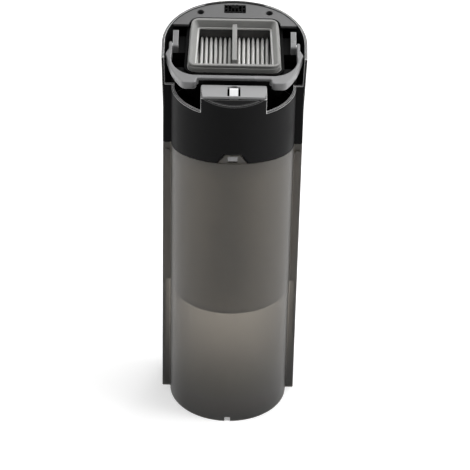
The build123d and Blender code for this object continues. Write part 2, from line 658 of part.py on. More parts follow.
def half_bail(side):
    """One half of the handle in plan: arm end, bowed arm, broad lobe and half the grip."""
    inner = ARM_X - ARM_W / 2
    outer = ARM_X + ARM_W / 2
    back = GRIP_S + GRIP_W / 2
    front = GRIP_S - GRIP_W / 2
    wide = ARM_X - LOBE_IN_ARM
    low = BUMP_S - BUMP_RUN
    high = BUMP_S + BUMP_RISE
    edges = Polyline(
        (0, front), (side * LOBE_IN, front), (side * LOBE_IN, LOBE_FRONT), (side * wide, LOBE_FRONT)
    )
    edges += ThreePointArc((side * wide, LOBE_FRONT), (side * BEND_X, BEND_S), (side * outer, low))
    edges += Polyline((side * outer, low), (side * BUMP_X, BUMP_S), (side * outer, high))
    edges += Line((side * outer, high), (side * outer, PIVOT_S))
    edges += ThreePointArc(
        (side * outer, PIVOT_S), (side * ARM_X, PIVOT_S + ARM_W / 2), (side * inner, PIVOT_S)
    )
    edges += Line((side * inner, PIVOT_S), (side * inner, BUMP_S))
    edges += ThreePointArc((side * inner, BUMP_S), (side * NECK_X, NECK_S), (side * LOBE_IN, back))
    edges += Polyline((side * LOBE_IN, back), (0, back), (0, front))
    return make_face(edges)


def handle():
    """Bail with bowed arms, a broad lobe at each front corner and a thin grip between them."""
    plan = half_bail(1) + half_bail(-1)
    toes = [v for v in plan.vertices() if abs(v.Y - LOBE_FRONT) < 0.01]
    plan = fillet([v for v in toes if abs(v.X) > LOBE_IN + 1], LOBE_TURN)
    toes = [v for v in plan.vertices() if abs(v.Y - LOBE_FRONT) < 0.01]
    plan = fillet([v for v in toes if abs(v.X) < LOBE_IN + 1], LOBE_R)
    bends = [v for v in plan.vertices() if abs(v.X) > 1 and v.Y > GRIP_S - GRIP_W]
    plan = fillet([v for v in bends if abs(v.Y - PIVOT_S) > 0.01], HANDLE_BLEND)
    bail = extrude(Pos(0, 0, HANDLE_TOP - HANDLE_T) * plan, HANDLE_T)
    bail = fillet(bail.faces().sort_by(Axis.Z)[-1].edges(), HANDLE_EDGE)
    for side in (-1, 1):
        bore = Rot(0, 90, 0) * Cylinder(PIN_R + PIN_RUN, 2 * ARM_W)
        bail -= Pos(side * ARM_X, PIVOT_S, PIVOT_H) * bore
    return TOP * (bail - grip_room(FIT))


def grip_room(grow):
    """Space under the thin bar of the grip, between the lobes."""
    half = LOBE_IN - HANDLE_BLEND + grow
    low = HANDLE_TOP - HANDLE_T - 4 * grow
    return block(-half, half, GRIP_S - GRIP_W, GRIP_S + GRIP_W, low, HANDLE_TOP - GRIP_T + grow)


def grip_insert():
    """Soft dark insert under the bar of the grip."""
    half = GRIP_W / 2 - INSERT_IN
    pad = grip_room(0) & block(-BIG, BIG, GRIP_S - half, GRIP_S + half, -BIG, BIG)
    return TOP * fillet(pad.edges().filter_by(Axis.X).group_by(Axis.Z)[0], half / 2)


def handle_pin(side):
    """Pivot pin through one arm into its ear."""
    inner = EAR_OUT - EAR_T + 0.5
    outer = ARM_X + ARM_W / 2 - 0.4
    pin = Pos(side * (inner + outer) / 2, PIVOT_S, PIVOT_H) * Rot(0, 90, 0) * Cylinder(PIN_R, outer - inner)
    return TOP * pin


def rear_deck():
    """Crescent deck behind the filter with screw holes and the contact window."""
    low = DECK_TOP - DECK_T
    deck = rear_block(LID_WALL + DECK_GAP) & top_block(-BIG, BIG, DECK_FRONT, BIG, low, DECK_TOP)
    room = filter_plan(FRAME_FLANGE + DECK_ROUND)
    deck -= TOP * Pos(0, 0, low - 1) * extrude(room, DECK_T + 2)
    cup_h = SCREW_SINK + CUP_FLOOR - DECK_T / 2
    for side in (-1, 1):
        mouth = TOP * Pos(side * SCREW_X, SCREW_S, DECK_TOP)
        cup = mouth * Pos(0, 0, -DECK_T / 2 - cup_h / 2) * Cylinder(SCREW_HOLE_R + CUP_WALL, cup_h)
        deck += cup & rear_block(LID_WALL + DECK_GAP)
        deck -= mouth * Cylinder(SCREW_HOLE_R, 2 * SCREW_SINK)
        deck -= mouth * Cylinder(SCREW_R + 0.2, 4 * SCREW_SINK)
    half = CONTACT_W / 2 + DECK_GAP / 2
    deck -= top_block(
        -half,
        half,
        CONTACT_S - CONTACT_L / 2 - DECK_GAP / 2,
        CONTACT_S + CONTACT_L / 2 + DECK_GAP / 2,
        low - 1,
        DECK_TOP + 1,
    )
    return deck


def under_facet(drop):
    """Everything below the slanted thumb facet, moved down by drop."""
    half = Pos(0, 0, -BIG / 2 - drop) * Box(BIG, BIG, BIG)
    return Pos(0, FACET_Y, FACET_Z) * Rot(FACET_TILT, 0, 0) * half


def front_cover():
    """Half-round front with the tongue, pockets, pocket floor and the notch for the tab."""
    low = PART_FRONT_Z - 20
    cover = half_disc(BULGE_R, low, PLATE_Z) - half_disc(BULGE_R - LID_WALL, low - 1, PLATE_Z + 1)
    for side in (-1, 1):
        x0, x1 = sorted((side * TONGUE_HALF, side * BIG))
        cover -= block(x0, x1, -BIG, BIG, FRONT_RIM_Z, BIG)
    cover -= below_part(PART_GAP)
    cover -= tab_prism(GAP + 0.1)
    cover -= tab_prism(TAB_ROUND) - half_disc(BULGE_R - TAB_STEP, low - 1, PLATE_Z + 1)
    shelf = half_disc(BULGE_R - LID_WALL / 2, SHELF_Z, SHELF_Z + SHELF_T)
    shelf -= block(-BIG, BIG, FLANGE_Y - SHELF_BACK, BIG, 0, BIG)
    shelf -= block(GAP - TONGUE_HALF, TONGUE_HALF - GAP, -BIG, BIG, 0, BIG)
    cover += shelf
    ring = half_disc(BULGE_R - LID_WALL / 2, SHELF_Z, PLATE_Z)
    for side in (-1, 1):
        x0, x1 = sorted((side * TONGUE_HALF, side * (TONGUE_HALF - TONGUE_WALL)))
        cover += block(x0, x1, -BIG, FLANGE_Y - PLATE_BACK, SHELF_Z, PLATE_Z) & ring
        cover -= Pos(side * COVER_X, COVER_Y, SHELF_Z) * Cylinder(SCREW_R + 0.2, 4 * SHELF_T)
    cap = block(-TONGUE_HALF, TONGUE_HALF, -BIG, FLANGE_Y - PLATE_FRONT - GAP, FACET_LOW_Z - 2, BIG)
    cover -= cap - under_facet(0)
    room = half_disc(BULGE_R - BUTTON_SKIN, BUTTON_LOW_Z - PRESS - 2, BIG)
    room &= block(GAP - TONGUE_HALF + TONGUE_WALL, TONGUE_HALF - TONGUE_WALL - GAP, -BIG, BIG, 0, BIG)
    cover -= room
    rims = cover.edges().filter_by(GeomType.CIRCLE)
    rims = [e for e in rims if abs(e.center().Z - FRONT_RIM_Z) < 0.01 and abs(e.radius - BULGE_R) < 0.01]
    return chamfer(rims, RIM_BREAK)


def cover_screws():
    """Screws down through the pocket floor."""
    return [
        Pos(side * COVER_X, COVER_Y, SHELF_Z + SHELF_T) * screw(SCREW_L)
        for side in (-1, 1)
    ]


def screw(length):
    """Round-headed screw with a cross recess, its seat at the origin."""
    head = Pos(0, 0, SCREW_HEAD_H / 2) * Cylinder(SCREW_HEAD_R, SCREW_HEAD_H)
    head = chamfer(head.edges().group_by(Axis.Z)[-1], SCREW_HEAD_H * 0.4)
    shank = Pos(0, 0, -length / 2) * Cylinder(SCREW_R - 0.05, length)
    cross = Box(SCREW_HEAD_R, 0.7, SCREW_HEAD_H) + Box(0.7, SCREW_HEAD_R, SCREW_HEAD_H)
    return head + shank - Pos(0, 0, SCREW_HEAD_H) * cross


def deck_screws():
    """Screws sunk in the deck."""
    seat = DECK_TOP - SCREW_SINK
    return [TOP * Pos(side * SCREW_X, SCREW_S, seat) * screw(SCREW_L - 1) for side in (-1, 1)]


def contact_housing():
    """Block in the deck window with a comb of slots over the contacts."""
    s0 = CONTACT_S - CONTACT_L / 2
    s1 = CONTACT_S + CONTACT_L / 2
    body = top_block(-CONTACT_W / 2, CONTACT_W / 2, s0, s1, DECK_TOP - CONTACT_H, DECK_TOP + 0.4)
    body &= rear_block(LID_WALL + DECK_GAP / 2)
    pitch = CONTACT_W / CONTACT_SLOTS
    rib = CONTACT_S - CONTACT_RIB / 2
    for i in range(CONTACT_SLOTS):
        x = (i + 0.5) * pitch - CONTACT_W / 2
        for back, front in ((s0 + 1.2, rib), (rib + CONTACT_RIB, s1 - 1.4)):
            body -= top_block(x - pitch * 0.3, x + pitch * 0.3, back, front, DECK_TOP - 3, DECK_TOP + 2)
    for side in (-1, 1):
        tooth = block(-TOOTH_W / 2, TOOTH_W / 2, rib, s1 - 1, DECK_TOP - 1, DECK_TOP + TOOTH_H)
        body += TOP * Pos(side * pitch / 2, 0, 0) * tooth
    for side in (-1, 1):
        body -= Pos(side * PROBE_X, PROBE_TOP_Y, RIM_MID_Z) * Cylinder(PROBE_R + 0.05, BIG)
    return body


def level_probe(side):
    """Bent steel rod from its contact down through the bulkhead into the tank."""
    x = side * PROBE_X
    low_y = FLANGE_Y + PROBE_BEHIND_LOW
    bend_z = BULKHEAD_Z + 13
    path = FilletPolyline(
        (x, PROBE_TOP_Y, PROBE_TOP_Z),
        (x, PROBE_TOP_Y, bend_z + 13),
        (x, low_y, bend_z),
        (x, low_y, PROBE_END_Z),
        radius=6,
    )
    start = Plane(origin=path @ 0, z_dir=path % 0)
    return sweep(start * Circle(PROBE_R), path)


def probe_grommets():
    """Rubber sleeves where the rods pass the bulkhead."""
    rings = []
    for side in (-1, 1):
        base = Pos(side * PROBE_X, FLANGE_Y + PROBE_BEHIND_LOW, NECK_Z + BULKHEAD_T / 2)
        ring = Cylinder(GROMMET_R - 0.05, BULKHEAD_T + 3) - Cylinder(PROBE_R + 0.05, BIG)
        rings.append(base * ring)
    return rings


def splash_guard():
    """Cage under the air hole: closed below, windows in its sides."""
    air_y = FLANGE_Y + AIR_BEHIND
    x1 = AIR_HOLE_W / 2 + 3
    y1 = AIR_HOLE_L / 2 + 3
    low = NECK_Z - GUARD_H
    cage = block(-x1, x1, air_y - y1, air_y + y1, low, NECK_Z)
    cage -= block(2 - x1, x1 - 2, air_y - y1 + 2, air_y + y1 - 2, low + 2, NECK_Z + 1)
    for i in range(GUARD_SLOTS):
        x = (i - (GUARD_SLOTS - 1) / 2) * (2 * x1 - 8) / GUARD_SLOTS
        slot = Box((2 * x1 - 8) / GUARD_SLOTS - 3, BIG, GUARD_H - 12)
        cage -= Pos(x, air_y, NECK_Z - GUARD_H / 2) * slot
    return cage


def latch_housing():
    """Box behind the tongue with a floor for the spring and a gate for the button's arm."""
    y0 = FLANGE_Y - PLATE_FRONT
    y1 = FLANGE_Y - PLATE_BACK
    box = block(-HOUSING_HALF, HOUSING_HALF, y0, y1, BULKHEAD_Z, PLATE_Z)
    box &= half_disc(BULGE_R - LID_WALL - GAP, BULKHEAD_Z, PLATE_Z)
    inner = HOUSING_HALF - HOUSING_WALL
    box -= block(-inner, inner, y0 + HOUSING_WALL, y1 - HOUSING_WALL, HOUSING_FLOOR_Z, BIG)
    box -= block(-inner, inner, y0 + HOUSING_WALL, y1 - HOUSING_WALL, 0, HOUSING_FLOOR_Z - HOUSING_WALL)
    gate = HOOK_HALF + GAP
    box -= block(-gate, gate, y0 - 1, y0 + 2 * HOUSING_WALL, ARM_LOW_Z - PRESS - GAP, BIG)
    return box


def latch_plate():
    """Plate over the housing with the slot the hook comes through."""
    y0 = FLANGE_Y - PLATE_FRONT
    y1 = FLANGE_Y - PLATE_BACK
    front_half = TONGUE_HALF - 1.4
    corners = [(-front_half, y0), (front_half, y0), (TONGUE_HALF, y1), (-TONGUE_HALF, y1)]
    plan = make_face(Polyline(corners, close=True))
    plate = prism(fillet(plan.vertices().sort_by(Axis.Y)[2:], 1.5), PLATE_Z, PLATE_Z + PLATE_T)
    slot_long = SLOT_FRONT - SLOT_BACK
    slot = RectangleRounded(2 * SLOT_HALF, slot_long, 0.6)
    slot += Pos(0, slot_long / 2 - SLOT_HALF + 1.6) * Circle(SLOT_HALF)
    plate -= prism(Pos(0, FLANGE_Y - (SLOT_FRONT + SLOT_BACK) / 2) * slot, 0, BIG)
    return plate


def latch_button():
    """Half-moon thumb button with an arm that reaches under the plate."""
    chord = FLANGE_Y - PLATE_FRONT - GAP
    moon = half_disc(BULGE_R - BUTTON_SKIN - GAP, BUTTON_LOW_Z, PLATE_Z)
    moon -= block(-BIG, BIG, chord, BIG, 0, BIG)
    side = TONGUE_HALF - TONGUE_WALL - 2 * GAP
    moon &= block(-side, side, -BIG, BIG, 0, BIG)
    moon &= under_facet(0)
    return moon + block(-HOOK_HALF, HOOK_HALF, chord - 2, FLANGE_Y - HOOK_BACK, ARM_LOW_Z, ARM_HIGH_Z)


def latch_hook():
    """Hook that stands on the button's arm and shows in the slot."""
    front = FLANGE_Y - HOOK_FRONT
    hook = block(-HOOK_HALF, HOOK_HALF, front, FLANGE_Y - HOOK_BACK, ARM_HIGH_Z + FIT, HOOK_Z)
    nose = hook.edges().filter_by(Axis.X).group_by(Axis.Y)[0].sort_by(Axis.Z)[-1]
    return chamfer(nose, HOOK_L * 0.5, HOOK_L * 0.7)


def latch_spring():
    """Bent leaf that pushes the button's arm up."""
    low = HOUSING_FLOOR_Z + SPRING_T / 2
    high = ARM_LOW_Z - SEAT - SPRING_T / 2
    front = SPRING_Y - SPRING_L / 2
    back = SPRING_Y + SPRING_L / 2
    leaf = FilletPolyline((back, low), (front, low), (back - 2, high), (back, high), radius=0.8)
    return extrude(Plane.YZ * trace(leaf, SPRING_T), SPRING_W / 2, both=True)


PIECES = {
    "tank_shell": tank_shell,
    "tab_catch": tab_catch,
    "inlet_pipe": inlet_pipe,
    "pipe_o_ring": pipe_o_ring,
    "inlet_seal": inlet_seal,
    "lid_body": lid_body,
    "lid_seal": lid_seal,
    "filter_well": filter_well,
    "front_cover": front_cover,
    "cover_screws": cover_screws,
    "rear_deck": rear_deck,
    "deck_screws": deck_screws,
    "contact_housing": contact_housing,
    "probe_left": lambda: level_probe(-1),
    "probe_right": lambda: level_probe(1),
    "probe_grommets": probe_grommets,
    "splash_guard": splash_guard,
    "latch_housing": latch_housing,
    "latch_plate": latch_plate,
    "latch_button": latch_button,
    "latch_hook": latch_hook,
    "latch_spring": latch_spring,
    "handle": handle,
    "grip_insert": grip_insert,
    "handle_ear_left": lambda: handle_ear(-1),
    "handle_ear_right": lambda: handle_ear(1),
    "handle_pin_left": lambda: handle_pin(-1),
    "handle_pin_right": lambda: handle_pin(1),
    "filter_seal": filter_seal,
    "filter_flange": filter_flange,
    "filter_frame": filter_frame,
    "filter_bar": filter_bar,
    "filter_media": filter_media,
}

for name, make in PIECES.items():
    made = make()
    solids = made if isinstance(made, list) else [made]
    export_step(Compound([solid for item in solids for solid in item.solids()]), f"parts/{name}.step")
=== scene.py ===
"""Dresses the dirty water tank: finishes, folded filter cloth, leaf spring, studio and camera."""

import json
import logging
import math
from dataclasses import dataclass, field
from enum import Enum
from typing import Dict, List, Tuple

import bmesh
import bpy
from mathutils import Matrix, Vector

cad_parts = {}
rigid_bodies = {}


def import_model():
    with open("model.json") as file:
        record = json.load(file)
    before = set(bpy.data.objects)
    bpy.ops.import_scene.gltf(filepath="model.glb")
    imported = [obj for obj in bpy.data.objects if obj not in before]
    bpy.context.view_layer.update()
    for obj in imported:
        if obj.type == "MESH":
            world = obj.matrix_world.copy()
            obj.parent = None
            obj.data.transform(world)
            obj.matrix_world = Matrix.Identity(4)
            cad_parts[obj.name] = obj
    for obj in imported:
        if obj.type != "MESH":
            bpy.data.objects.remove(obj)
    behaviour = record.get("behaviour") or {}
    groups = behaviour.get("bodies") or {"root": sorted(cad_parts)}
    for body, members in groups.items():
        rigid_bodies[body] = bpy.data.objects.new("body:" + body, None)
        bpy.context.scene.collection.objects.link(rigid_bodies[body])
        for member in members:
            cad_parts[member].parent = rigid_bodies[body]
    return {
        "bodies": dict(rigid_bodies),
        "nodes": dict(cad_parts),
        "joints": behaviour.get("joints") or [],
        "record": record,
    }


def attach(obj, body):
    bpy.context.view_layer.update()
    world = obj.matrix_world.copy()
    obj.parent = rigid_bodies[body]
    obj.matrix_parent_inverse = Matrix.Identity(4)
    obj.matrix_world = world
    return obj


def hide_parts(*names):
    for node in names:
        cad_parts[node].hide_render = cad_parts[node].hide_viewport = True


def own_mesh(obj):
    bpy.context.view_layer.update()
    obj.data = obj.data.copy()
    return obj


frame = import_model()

LOG = logging.getLogger("dirty_water_tank")
Triple = Tuple[float, float, float]
Socket = bpy.types.NodeSocket

IMAGE_PIXELS = 470
MERGE_DISTANCE = 0.000001
NOISE_LOW, NOISE_HIGH = 0.3, 0.7
LAMP_AIM = Vector((0, 0, 0.25))


def clear_start_scene() -> None:
    """Removes every object that is not part of the frame."""
    kept = set(frame["nodes"].values()) | set(frame["bodies"].values())
    for obj in [o for o in bpy.data.objects if o not in kept]:
        bpy.data.objects.remove(obj)


def new_object(name: str, data: bpy.types.ID) -> bpy.types.Object:
    """Adds an object to the scene.

    Args:
        name: Name of the object.
        data: Its mesh, lamp or camera.

    Returns:
        The object, at the origin.
    """
    obj = bpy.data.objects.new(name, data)
    bpy.context.scene.collection.objects.link(obj)
    return obj


def joint_named(name: str) -> dict:
    """Returns the joint of that name from the frame."""
    return next(j for j in frame["joints"] if j["name"] == name)


def slanted_top() -> Matrix:
    """Gives the turn from the slanted top's own directions to the upright frame.

    Returns:
        A rotation whose third column is the direction in which the filter lifts out.
    """
    up = Vector(joint_named("filter_lift")["axis"]).normalized()
    across = Vector((1, 0, 0))
    back = up.cross(across)
    return Matrix((across, back, up)).transposed()


def extent_along(node: str, turn: Matrix) -> Tuple[Vector, Vector]:
    """Measures a solid along turned directions.

    Args:
        node: Name of the solid.
        turn: Rotation from the turned directions to the upright frame.

    Returns:
        Its lowest and highest corner in the turned directions, in metres.
    """
    back = turn.inverted()
    points = [back @ v.co for v in frame["nodes"][node].data.vertices]
    low = Vector([min(p[i] for p in points) for i in range(3)])
    high = Vector([max(p[i] for p in points) for i in range(3)])
    return low, high


class NodeMaker:
    """Adds and links the nodes of one tree."""

    def __init__(self, tree: bpy.types.NodeTree) -> None:
        """Keeps the tree that is added to."""
        self.tree = tree

    def feed(self, target: Socket, value: object) -> None:
        """Links a socket to another, or sets its value.

        Args:
            target: The input socket.
            value: The source socket, or a plain value.
        """
        if isinstance(value, Socket):
            self.tree.links.new(value, target)
        else:
            target.default_value = value

    def add(self, kind: str, **sockets: object) -> bpy.types.Node:
        """Adds a node.

        Args:
            kind: Blender's type name of the node.
            **sockets: Input values or source sockets, with _ for each space in the name.

        Returns:
            The new node.
        """
        node = self.tree.nodes.new(kind)
        for name, value in sockets.items():
            self.feed(node.inputs[name.replace("_", " ")], value)
        return node

    def math(self, operation: str, *values: object) -> Socket:
        """Adds one step of arithmetic.

        Args:
            operation: Blender's name of the step.
            *values: Numbers or source sockets.

        Returns:
            The result's socket.
        """
        node = self.add("ShaderNodeMath")
        node.operation = operation
        for target, value in zip(node.inputs, values):
            self.feed(target, value)
        return node.outputs[0]

    def measure(self, operation: str, *vectors: object) -> Socket:
        """Adds one step that makes a number of vectors.

        Args:
            operation: Blender's name of the step.
            *vectors: Vectors or source sockets.

        Returns:
            The number's socket.
        """
        node = self.add("ShaderNodeVectorMath")
        node.operation = operation
        for target, vector in zip(node.inputs, vectors):
            self.feed(target, vector)
        return node.outputs["Value"]

    def ranged(self, value: Socket, **limits: float) -> Socket:
        """Maps a value from one range to another.

        Args:
            value: The socket that is mapped.
            **limits: From_Min, From_Max, To_Min and To_Max, where they are not 0 and 1.

        Returns:
            The mapped socket.
        """
        return self.add("ShaderNodeMapRange", Value=value, **limits).outputs["Result"]

    def seen(self) -> Socket:
        """Adds a value that is one where the camera, a reflection or a clear piece looks.

        Returns:
            The value's socket.
        """
        path = self.add("ShaderNodeLightPath").outputs
        total = path["Is Camera Ray"]
        for name in ("Is Glossy Ray", "Is Transmission Ray"):
            total = self.math("MAXIMUM", total, path[name])
        return total


class MaterialNodes(NodeMaker):
    """The shader nodes of one material."""

    def __init__(self, name: str) -> None:
        """Starts an empty material.

        Args:
            name: Name of the material.
        """
        self.material = bpy.data.materials.new(name)
        self.material.use_nodes = True
        super().__init__(self.material.node_tree)
        self.tree.nodes.clear()
        self.output = self.add("ShaderNodeOutputMaterial")

    def place(self) -> Socket:
        """Returns a socket that gives each point's place on the object."""
        return self.add("ShaderNodeTexCoord").outputs["Object"]

    def axis(self, name: str) -> Socket:
        """Returns a socket that gives one axis of that place."""
        return self.add("ShaderNodeSeparateXYZ", Vector=self.place()).outputs[name]

    def noise(self, scale: float, detail: float, stretch: Triple = (1.0, 1.0, 1.0)) -> Socket:
        """Adds a noise pattern on the object's own coordinates.

        Args:
            scale: Bumps to the metre.
            detail: How many finer layers are added.
            stretch: Scale along each axis.

        Returns:
            The noise's value socket.
        """
        mapping = self.add("ShaderNodeMapping", Vector=self.place(), Scale=stretch)
        noise = self.add("ShaderNodeTexNoise", Vector=mapping.outputs["Vector"], Scale=scale,
                         Detail=detail)
        return noise.outputs["Fac"]

    def spread(self, noise: Socket, low: float, high: float) -> Socket:
        """Maps a noise value to a range.

        Args:
            noise: The noise socket.
            low: Result at the noise's usual low.
            high: Result at the noise's usual high.

        Returns:
            The mapped socket.
        """
        return self.ranged(noise, From_Min=NOISE_LOW, From_Max=NOISE_HIGH, To_Min=low, To_Max=high)

    def mix(self, factor: Socket, low: object, high: object) -> Socket:
        """Mixes two colours.

        Args:
            factor: Share of the second colour.
            low: First colour, or a socket that gives it.
            high: Second colour, or a socket that gives it.

        Returns:
            The mixed colour's socket.
        """
        node = self.add("ShaderNodeMix", Factor=factor)
        node.data_type = "RGBA"
        for name, value in (("A", low), ("B", high)):
            target = next(s for s in node.inputs if s.name == name and s.type == "RGBA")
            self.feed(target, value if isinstance(value, Socket) else (*value, 1))
        return next(s for s in node.outputs if s.type == "RGBA")


class ShapeNodes(NodeMaker):
    """A Geometry Nodes tree that makes one piece."""

    def __init__(self, name: str) -> None:
        """Starts a tree with a geometry output.

        Args:
            name: Name of the tree.
        """
        super().__init__(bpy.data.node_groups.new(name, "GeometryNodeTree"))
        self.tree.interface.new_socket("Geometry", in_out="OUTPUT",
                                       socket_type="NodeSocketGeometry")
        self.source = self.add("NodeGroupInput")
        self.result = self.add("NodeGroupOutput")

    def size(self, name: str, kind: str = "NodeSocketFloat") -> Socket:
        """Adds a named input and returns its socket inside the tree."""
        self.tree.interface.new_socket(name, in_out="INPUT", socket_type=kind)
        return self.source.outputs[name]

    def finish(self, geometry: Socket, material: bpy.types.Material) -> None:
        """Ends the tree with real geometry and a material.

        Args:
            geometry: What the tree has made.
            material: The finish that it takes.
        """
        real = self.add("GeometryNodeRealizeInstances", Geometry=geometry)
        painted = self.add("GeometryNodeSetMaterial", Geometry=real.outputs[0], Material=material)
        self.feed(self.result.inputs[0], painted.outputs[0])

    def mesh(self, name: str, sizes: Dict[str, object]) -> bpy.types.Object:
        """Runs the tree once and keeps its result as a plain mesh.

        Args:
            name: Name of the new piece.
            sizes: Value of each named input.

        Returns:
            The piece, at the origin.
        """
        maker = new_object(name + "_maker", bpy.data.meshes.new(name + "_maker"))
        step = maker.modifiers.new("shape", "NODES")
        step.node_group = self.tree
        for item in self.tree.interface.items_tree:
            if item.in_out == "INPUT":
                step[item.identifier] = sizes[item.name]
        graph = bpy.context.evaluated_depsgraph_get()
        made = bpy.data.meshes.new_from_object(maker.evaluated_get(graph))
        bpy.data.objects.remove(maker)
        made.name = name
        return new_object(name, made)


class Gloss(Enum):
    """How shiny a surface is, as the roughness of its shader."""

    POLISHED = 0.26
    HALF_GLOSS = 0.32
    SATIN = 0.42
    DULL = 0.5
    MATT = 0.62
    WOVEN = 0.9


@dataclass(frozen=True)
class Finish:
    """A moulded or plain surface with fine grain and slight unevenness."""

    name: str
    colour: Triple
    gloss: Gloss = Gloss.SATIN
    unevenness: float = 0.05
    specular: float = 0.5
    metallic: float = 0.0
    shade: float = 0.08
    cloud_scale: float = 35.0
    cloud_detail: float = 3.0
    grain_scale: float = 1400.0
    grain_detail: float = 2.0
    grain_depth: float = 0.00002
    grain_strength: float = 0.6
    grain_stretch: Triple = (1.0, 1.0, 1.0)
    edge: float = 0.0004

    def shaded(self, share: float) -> Triple:
        """Returns the colour times a share, up to white."""
        return tuple(min(1.0, c * share) for c in self.colour)

    def tint(self, nodes: MaterialNodes, cloud: Socket) -> Socket:
        """Builds the colour, slightly darker and lighter in patches.

        Args:
            nodes: The material that is being built.
            cloud: The noise that sets the patches.

        Returns:
            The colour's socket.
        """
        return nodes.mix(cloud, self.shaded(1 - self.shade), self.shaded(1 + self.shade))

    def shader(self, nodes: MaterialNodes) -> bpy.types.Node:
        """Builds the surface shader.

        Args:
            nodes: The material that is being built.

        Returns:
            The Principled node.
        """
        cloud = nodes.noise(self.cloud_scale, self.cloud_detail)
        middle = self.gloss.value
        grain = nodes.noise(self.grain_scale, self.grain_detail, self.grain_stretch)
        bump = nodes.add("ShaderNodeBump", Strength=self.grain_strength, Distance=self.grain_depth,
                         Height=grain)
        if self.edge:
            soft = nodes.add("ShaderNodeBevel", Radius=self.edge)
            nodes.feed(bump.inputs["Normal"], soft.outputs["Normal"])
        return nodes.add(
            "ShaderNodeBsdfPrincipled",
            Base_Color=self.tint(nodes, cloud),
            Metallic=self.metallic,
            Roughness=nodes.spread(cloud, middle - self.unevenness, middle + self.unevenness),
            Specular_IOR_Level=self.specular,
            Normal=bump.outputs["Normal"],
        )

    def material(self) -> bpy.types.Material:
        """Makes the finish's material on first use.

        Returns:
            The material.
        """
        made = bpy.data.materials.get(self.name)
        if made is None:
            nodes = MaterialNodes(self.name)
            nodes.feed(nodes.output.inputs["Surface"], self.shader(nodes).outputs["BSDF"])
            made = nodes.material
        return made


@dataclass(frozen=True)
class EdgeHighlightFinish(Finish):
    """Plastic whose edges are painted pale as a highlight.

    The painted highlight fades in between two heights and is weaker in a faint band about the
    middle.
    """

    highlight_colour: Triple = (0.85, 0.85, 0.85)
    highlight_width: float = 0.0012
    highlight_samples: int = 8
    highlight_start: float = 0.99
    highlight_full: float = 0.92
    highlight_least: float = 0.8
    highlight_low: float = 0.27
    highlight_high: float = 0.29
    faint_half: float = 0.025
    faint_blur: float = 0.001
    faint_share: float = 0.15

    def tint(self, nodes: MaterialNodes, cloud: Socket) -> Socket:
        """Builds the colour, with a painted highlight where the rounded normal leaves the face's
        own.

        Args:
            nodes: The material that is being built.
            cloud: The noise that sets the patches.

        Returns:
            The colour's socket.
        """
        # painted highlight: pale colour where the rounded normal leaves the face's own, above a
        # height and fainter about the middle
        soft = nodes.add("ShaderNodeBevel", Radius=self.highlight_width)
        soft.samples = self.highlight_samples
        face = nodes.add("ShaderNodeNewGeometry")
        bend = nodes.measure("DOT_PRODUCT", soft.outputs["Normal"], face.outputs["True Normal"])
        share = nodes.ranged(bend, From_Min=self.highlight_start, From_Max=self.highlight_full)
        aside = nodes.math("ABSOLUTE", nodes.axis("X"))
        masks = (
            nodes.ranged(nodes.axis("Z"), From_Min=self.highlight_low, From_Max=self.highlight_high),
            nodes.ranged(aside, From_Min=self.faint_half - self.faint_blur,
                         From_Max=self.faint_half + self.faint_blur, To_Min=self.faint_share),
            nodes.spread(cloud, self.highlight_least, 1.0),
        )
        for mask in masks:
            share = nodes.math("MULTIPLY", share, mask)
        return nodes.mix(share, super().tint(nodes, cloud), self.highlight_colour)


@dataclass(frozen=True)
class SmokeFinish(Finish):
    """Half-clear plastic with a smoke tint that deepens with thickness and towards its edges, and
    a painted shade towards its foot.
    """

    absorb: Triple = (0.4, 0.38, 0.36)
    density: float = 0.0
    ior: float = 1.46
    clearness: float = 0.86
    edge_shade: float = 0.1
    edge_blend: float = 0.25
    # painted shade: share of the colour at the foot, standing in for the shadow inside the skirt
    painted_foot_shade: float = 0.05
    foot_height: float = 0.12

    def tint(self, nodes: MaterialNodes, cloud: Socket) -> Socket:
        """Builds the smoke tint, with a painted shade towards the foot, and deeper where the wall
        is seen edge on.

        Args:
            nodes: The material that is being built.
            cloud: The noise that sets the patches.

        Returns:
            The colour's socket.
        """
        # painted shade: the tint darkens towards the foot
        rise = nodes.ranged(nodes.axis("Z"), From_Max=self.foot_height)
        body = nodes.mix(rise, self.shaded(self.painted_foot_shade), super().tint(nodes, cloud))
        facing = nodes.add("ShaderNodeLayerWeight", Blend=self.edge_blend)
        return nodes.mix(facing.outputs["Facing"], body, self.shaded(self.edge_shade))

    def shader(self, nodes: MaterialNodes) -> bpy.types.Node:
        """Builds the see-through surface and the smoke in its depth.

        Args:
            nodes: The material that is being built.

        Returns:
            The Principled node.
        """
        surface = super().shader(nodes)
        surface.inputs["Transmission Weight"].default_value = self.clearness
        surface.inputs["IOR"].default_value = self.ior
        smoke = nodes.add("ShaderNodeVolumeAbsorption", Color=(*self.absorb, 1),
                          Density=self.density)
        nodes.feed(nodes.output.inputs["Volume"], smoke.outputs["Volume"])
        return surface


@dataclass(frozen=True)
class FoldFinish(Finish):
    """Filter cloth with painted shade down in its folds, pale on the ridges."""

    # painted shade: the colour down in the folds, where shade falls
    fold_shade_colour: Triple = (0.05, 0.05, 0.048)
    fold_depth: float = 0.0095
    ridge_share: float = 0.15

    def tint(self, nodes: MaterialNodes, cloud: Socket) -> Socket:
        """Builds the colour, graded along the direction in which the filter lifts out: painted
        shade down in the folds.

        Args:
            nodes: The material that is being built.
            cloud: The noise that sets the patches.

        Returns:
            The colour's socket.
        """
        turn = slanted_top()
        ridge = extent_along("filter_media", turn)[1].z
        along = nodes.measure("DOT_PRODUCT", nodes.place(), turn.col[2])
        # painted shade: darkest at the fold bottoms, fading up to the ridges
        fade = nodes.ranged(along, From_Min=ridge - self.fold_depth,
                            From_Max=ridge - self.ridge_share * self.fold_depth)
        fade.node.interpolation_type = "SMOOTHSTEP"
        return nodes.mix(fade, self.fold_shade_colour, super().tint(nodes, cloud))


